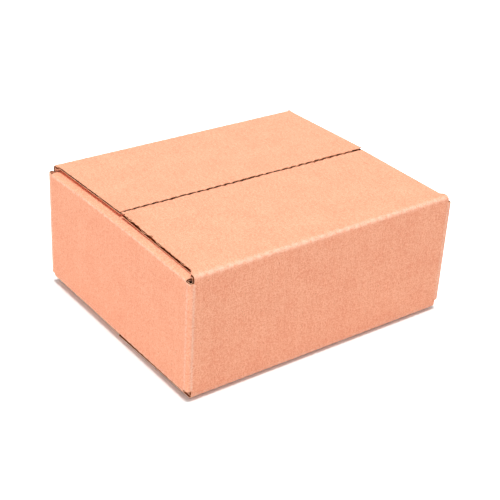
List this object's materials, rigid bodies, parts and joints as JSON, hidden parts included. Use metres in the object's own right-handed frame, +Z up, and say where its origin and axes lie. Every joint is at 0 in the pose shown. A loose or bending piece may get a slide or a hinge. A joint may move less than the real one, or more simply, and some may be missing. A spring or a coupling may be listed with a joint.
{
  "type": "closed cardboard box",
  "caption": "Low rectangular shipping box of brown corrugated board, folded from one sheet, closed without tape; its outer top flaps meet at a seam and swing open.",
  "frame": {"origin": "middle of the footprint, on the ground under the outer bottom flaps", "axes": "+X along the long walls, +Y from the front wall to the rear wall, +Z up"},
  "size_m": [0.2, 0.165, 0.0868],
  "materials": {
    "kraft_board": "matt brown kraft liner"
  },
  "bodies": {
    "box": {"box_body": "kraft_board"},
    "front_flap": {"front_top_flap": "kraft_board"},
    "rear_flap": {"rear_top_flap": "kraft_board"}
  },
  "joints": [
    {"name": "front_flap_fold", "type": "hinge", "parent": "box", "child": "front_flap", "pos_m": [0, -0.0825, 0.084], "axis": [1, 0, 0], "range_deg": [0, 250]},
    {"name": "rear_flap_fold", "type": "hinge", "parent": "box", "child": "rear_flap", "pos_m": [0, 0.0825, 0.084], "axis": [-1, 0, 0], "range_deg": [0, 250]}
  ]
}
